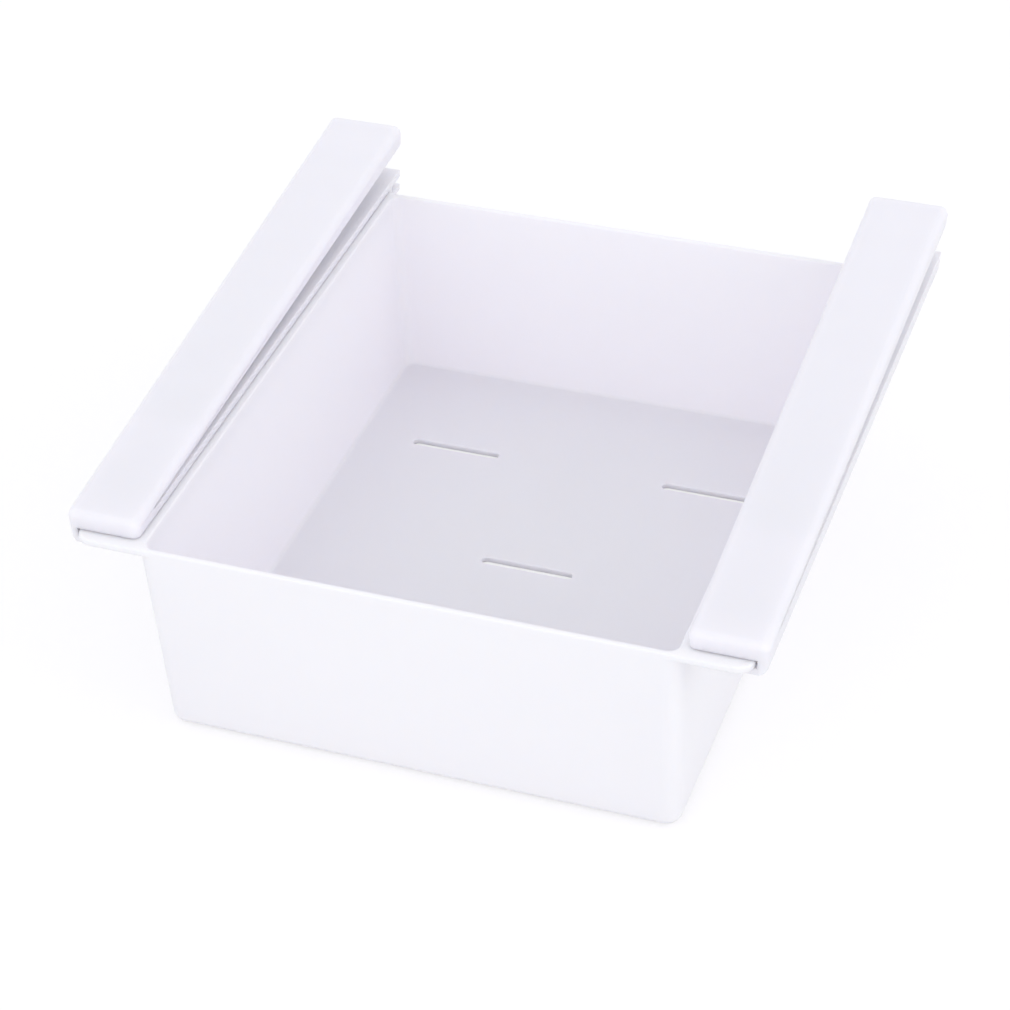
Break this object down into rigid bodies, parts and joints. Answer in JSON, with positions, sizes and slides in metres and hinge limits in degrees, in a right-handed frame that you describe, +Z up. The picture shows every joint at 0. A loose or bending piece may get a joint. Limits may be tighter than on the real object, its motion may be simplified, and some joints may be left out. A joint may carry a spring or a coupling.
{
  "type": "fridge drawer organizer",
  "caption": "Open tapered bin that slides on side flanges in clip-on rails, which grip the plate of a fridge shelf so that the bin hangs under it as a drawer.",
  "frame": {"origin": "under the middle of the closed drawer's overall box, on the plane of the bin's underside", "axes": "+X to the right as seen from the front, -Y towards the front, where the bin pulls out, +Z up"},
  "size_m": [0.2138, 0.2144, 0.0881],
  "materials": {
    "bin_plastic": "satin white moulded polypropylene",
    "rail_plastic": "satin white moulded polypropylene"
  },
  "bodies": {
    "rails": {"left_rail": "rail_plastic", "right_rail": "rail_plastic"},
    "drawer": {"bin": "bin_plastic"}
  },
  "joints": [
    {"name": "drawer_slide", "type": "slide", "parent": "rails", "child": "drawer", "axis": [0, -1, 0], "range_m": [0, 0.15]}
  ]
}
